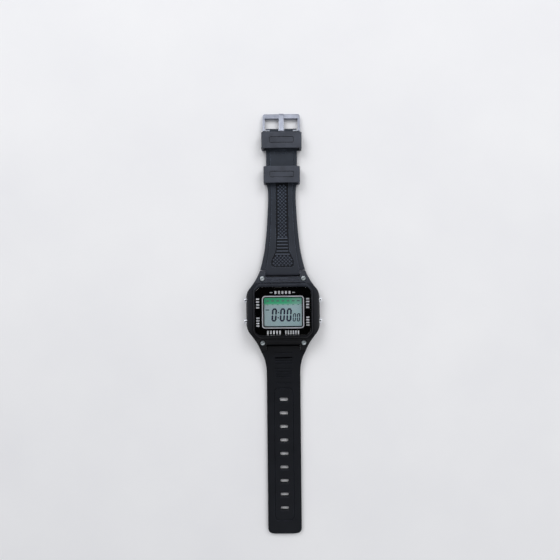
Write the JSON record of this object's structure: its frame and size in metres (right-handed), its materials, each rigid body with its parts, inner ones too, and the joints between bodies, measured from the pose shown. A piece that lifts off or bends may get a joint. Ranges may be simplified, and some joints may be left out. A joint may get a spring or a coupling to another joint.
{
  "type": "digital wrist watch",
  "caption": "Digital wrist watch with a cut-corner resin case, side pushers, holed resin strap, keepers and a steel pin buckle, laid flat with the dial up.",
  "frame": {"origin": "centre of the rear cover's outer face, on which the watch lies", "axes": "+Z out of the dial, +Y to twelve o'clock and the buckle, +X to three o'clock"},
  "size_m": [0.0402, 0.2189, 0.0094],
  "materials": {
    "case_resin": "moulded charcoal resin, fine satin",
    "strap_resin": "soft moulded resin, matt charcoal",
    "keeper_rubber": "soft moulded rubber, matt charcoal",
    "crystal_clear": "clear acrylic, polished",
    "mask_black": "black printed sheet, glossy",
    "steel_brushed": "fine brushed stainless steel",
    "steel_polished": "polished stainless steel",
    "spring_steel": "drawn spring steel",
    "seal_rubber": "smooth black rubber",
    "frame_plastic": "moulded ivory plastic",
    "board_laminate": "green circuit board laminate",
    "chip_resin": "black potting resin",
    "display_glass": "thin display glass",
    "polariser_film": "grey-green film",
    "reflector_foil": "matt reflecting foil",
    "zebra_rubber": "striped conductive rubber",
    "contact_brass": "thin gilt brass",
    "cell_steel": "nickel-plated steel",
    "film_clear": "amber insulating film",
    "lamp_resin": "clear lamp resin"
  },
  "bodies": {
    "case": {"case_body": "case_resin", "crystal": "crystal_clear", "dial_mask": "mask_black", "rear_cover": "steel_brushed", "case_gasket": "seal_rubber", "cover_screws": "steel_brushed", "lug_screws": "steel_polished", "module_frame": "frame_plastic", "circuit_board": "board_laminate", "chip_cover": "chip_resin", "quartz_crystal": "cell_steel", "lcd_reflector": "reflector_foil", "lcd_rear_glass": "display_glass", "lcd_front_glass": "display_glass", "lcd_polariser": "polariser_film", "zebra_strips": "zebra_rubber", "lamp": "lamp_resin", "side_contacts": "contact_brass", "battery": "cell_steel", "battery_contact": "contact_brass", "battery_clamp": "spring_steel", "module_screws": "steel_brushed", "insulating_film": "film_clear", "buzzer_disc": "contact_brass", "buzzer_spring": "spring_steel", "pusher_seals": "seal_rubber", "upper_bar_tube": "steel_brushed", "upper_bar_spring": "spring_steel", "lower_bar_tube": "steel_brushed", "lower_bar_spring": "spring_steel", "top_right_pusher_spring": "spring_steel", "top_left_pusher_spring": "spring_steel", "bottom_right_pusher_spring": "spring_steel", "bottom_left_pusher_spring": "spring_steel"},
    "top_right_pusher": {"top_right_pusher": "steel_polished", "top_right_pusher_clip": "spring_steel"},
    "top_left_pusher": {"top_left_pusher": "steel_polished", "top_left_pusher_clip": "spring_steel"},
    "bottom_right_pusher": {"bottom_right_pusher": "steel_polished", "bottom_right_pusher_clip": "spring_steel"},
    "bottom_left_pusher": {"bottom_left_pusher": "steel_polished", "bottom_left_pusher_clip": "spring_steel"},
    "upper_strap": {"upper_strap": "strap_resin", "buckle_bar_tube": "steel_brushed", "buckle_bar_spring": "spring_steel"},
    "lower_strap": {"lower_strap": "strap_resin"},
    "free_keeper": {"free_keeper": "keeper_rubber"},
    "buckle_keeper": {"buckle_keeper": "keeper_rubber"},
    "buckle_frame": {"buckle_frame": "steel_polished"},
    "buckle_tongue": {"buckle_tongue": "steel_polished"},
    "upper_bar_right_tip": {"upper_bar_right_tip": "steel_polished"},
    "upper_bar_left_tip": {"upper_bar_left_tip": "steel_polished"},
    "lower_bar_right_tip": {"lower_bar_right_tip": "steel_polished"},
    "lower_bar_left_tip": {"lower_bar_left_tip": "steel_polished"},
    "buckle_bar_right_tip": {"buckle_bar_right_tip": "steel_polished"},
    "buckle_bar_left_tip": {"buckle_bar_left_tip": "steel_polished"}
  },
  "joints": [
    {"name": "top_right_push", "type": "slide", "parent": "case", "child": "top_right_pusher", "axis": [-1, 0, 0], "range_m": [0, 0.0008], "stiffness_N_per_m": 600, "springref_m": -0.001, "deforming": ["top_right_pusher_spring"]},
    {"name": "top_left_push", "type": "slide", "parent": "case", "child": "top_left_pusher", "axis": [1, 0, 0], "range_m": [0, 0.0008], "stiffness_N_per_m": 600, "springref_m": -0.001, "deforming": ["top_left_pusher_spring"]},
    {"name": "bottom_right_push", "type": "slide", "parent": "case", "child": "bottom_right_pusher", "axis": [-1, 0, 0], "range_m": [0, 0.0008], "stiffness_N_per_m": 600, "springref_m": -0.001, "deforming": ["bottom_right_pusher_spring"]},
    {"name": "bottom_left_push", "type": "slide", "parent": "case", "child": "bottom_left_pusher", "axis": [1, 0, 0], "range_m": [0, 0.0008], "stiffness_N_per_m": 600, "springref_m": -0.001, "deforming": ["bottom_left_pusher_spring"]},
    {"name": "upper_strap_hinge", "type": "hinge", "parent": "case", "child": "upper_strap", "pos_m": [0, 0.0192, 0.0027], "axis": [-1, 0, 0], "range_deg": [0, 75]},
    {"name": "lower_strap_hinge", "type": "hinge", "parent": "case", "child": "lower_strap", "pos_m": [0, -0.0192, 0.0027], "axis": [1, 0, 0], "range_deg": [0, 75]},
    {"name": "free_keeper_slide", "type": "slide", "parent": "upper_strap", "child": "free_keeper", "axis": [0, -1, 0], "range_m": [-0.004, 0.02]},
    {"name": "buckle_keeper_slide", "type": "slide", "parent": "upper_strap", "child": "buckle_keeper", "axis": [0, -1, 0], "range_m": [0, 0.0045]},
    {"name": "buckle_frame_hinge", "type": "hinge", "parent": "upper_strap", "child": "buckle_frame", "pos_m": [0, 0.0932, 0.00265], "axis": [-1, 0, 0], "range_deg": [0, 60]},
    {"name": "buckle_tongue_hinge", "type": "hinge", "parent": "buckle_frame", "child": "buckle_tongue", "pos_m": [0, 0.0932, 0.00265], "axis": [1, 0, 0], "range_deg": [0, 90]},
    {"name": "upper_bar_right_tip_slide", "type": "slide", "parent": "case", "child": "upper_bar_right_tip", "axis": [-1, 0, 0], "range_m": [0, 0.001], "stiffness_N_per_m": 300, "springref_m": -0.003, "deforming": ["upper_bar_spring"]},
    {"name": "upper_bar_left_tip_slide", "type": "slide", "parent": "case", "child": "upper_bar_left_tip", "axis": [1, 0, 0], "range_m": [0, 0.001], "stiffness_N_per_m": 300, "springref_m": -0.003, "deforming": ["upper_bar_spring"]},
    {"name": "lower_bar_right_tip_slide", "type": "slide", "parent": "case", "child": "lower_bar_right_tip", "axis": [-1, 0, 0], "range_m": [0, 0.001], "stiffness_N_per_m": 300, "springref_m": -0.003, "deforming": ["lower_bar_spring"]},
    {"name": "lower_bar_left_tip_slide", "type": "slide", "parent": "case", "child": "lower_bar_left_tip", "axis": [1, 0, 0], "range_m": [0, 0.001], "stiffness_N_per_m": 300, "springref_m": -0.003, "deforming": ["lower_bar_spring"]},
    {"name": "buckle_bar_right_tip_slide", "type": "slide", "parent": "upper_strap", "child": "buckle_bar_right_tip", "axis": [-1, 0, 0], "range_m": [0, 0.001], "stiffness_N_per_m": 300, "springref_m": -0.003, "deforming": ["buckle_bar_spring"]},
    {"name": "buckle_bar_left_tip_slide", "type": "slide", "parent": "upper_strap", "child": "buckle_bar_left_tip", "axis": [1, 0, 0], "range_m": [0, 0.001], "stiffness_N_per_m": 300, "springref_m": -0.003, "deforming": ["buckle_bar_spring"]}
  ]
}
